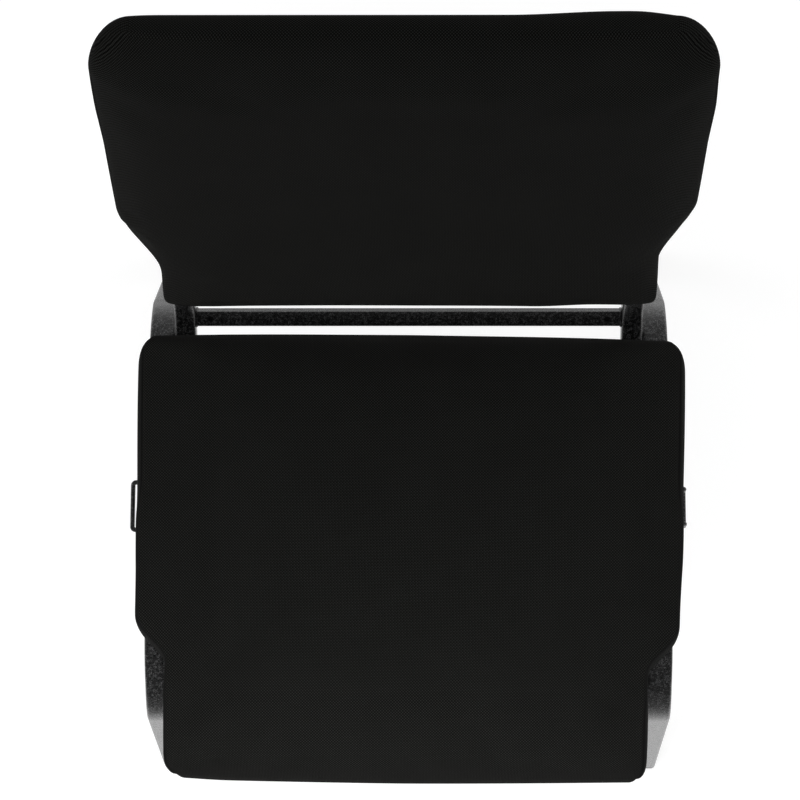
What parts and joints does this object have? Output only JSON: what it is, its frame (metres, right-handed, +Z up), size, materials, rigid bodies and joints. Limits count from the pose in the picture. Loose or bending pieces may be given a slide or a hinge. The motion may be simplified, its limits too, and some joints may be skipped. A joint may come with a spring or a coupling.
{
  "type": "church chair",
  "caption": "Armless stacking church chair with bent square-tube side frames, a padded waterfall seat, a waisted padded back and ganging wires at the sides.",
  "frame": {"origin": "on the floor, in the middle of the chair's width and depth", "axes": "+Z up, the front of the seat faces -Y, +X to the right as seen from the front"},
  "size_m": [0.472, 0.5686, 0.8424],
  "materials": {
    "powder_coat": "black powder coat with a fine silver vein, on steel tube and wire",
    "black_plastic": "moulded black plastic",
    "plywood": "unfinished plywood",
    "foam": "moulded polyurethane foam",
    "cloth": "black woven upholstery cloth with a fine diamond pattern",
    "cambric": "thin black dust-cover cloth",
    "zinc": "zinc plated"
  },
  "bodies": {
    "root": {"side_frame_left": "powder_coat", "side_frame_right": "powder_coat", "back_upright_left": "powder_coat", "back_upright_right": "powder_coat", "rear_crossbar": "powder_coat", "front_crossbar": "powder_coat", "ganging_loop_left": "powder_coat", "ganging_hook_right": "powder_coat", "glide_front_left": "black_plastic", "glide_front_right": "black_plastic", "glide_rear_left": "black_plastic", "glide_rear_right": "black_plastic", "upright_plug_left": "black_plastic", "upright_plug_right": "black_plastic", "seat_board": "plywood", "seat_foam": "foam", "seat_cover": "cloth", "seat_dust_cover": "cambric", "seat_nut_front_left": "zinc", "seat_nut_front_right": "zinc", "seat_nut_rear_left": "zinc", "seat_nut_rear_right": "zinc", "seat_screw_front_left": "zinc", "seat_screw_front_right": "zinc", "seat_screw_rear_left": "zinc", "seat_screw_rear_right": "zinc", "back_board": "plywood", "back_front_foam": "foam", "back_rear_foam": "foam", "back_cover": "cloth", "back_nut_lower_left": "zinc", "back_nut_lower_right": "zinc", "back_nut_upper_left": "zinc", "back_nut_upper_right": "zinc", "back_screw_lower_left": "zinc", "back_screw_lower_right": "zinc", "back_screw_upper_left": "zinc", "back_screw_upper_right": "zinc"}
  },
  "joints": []
}
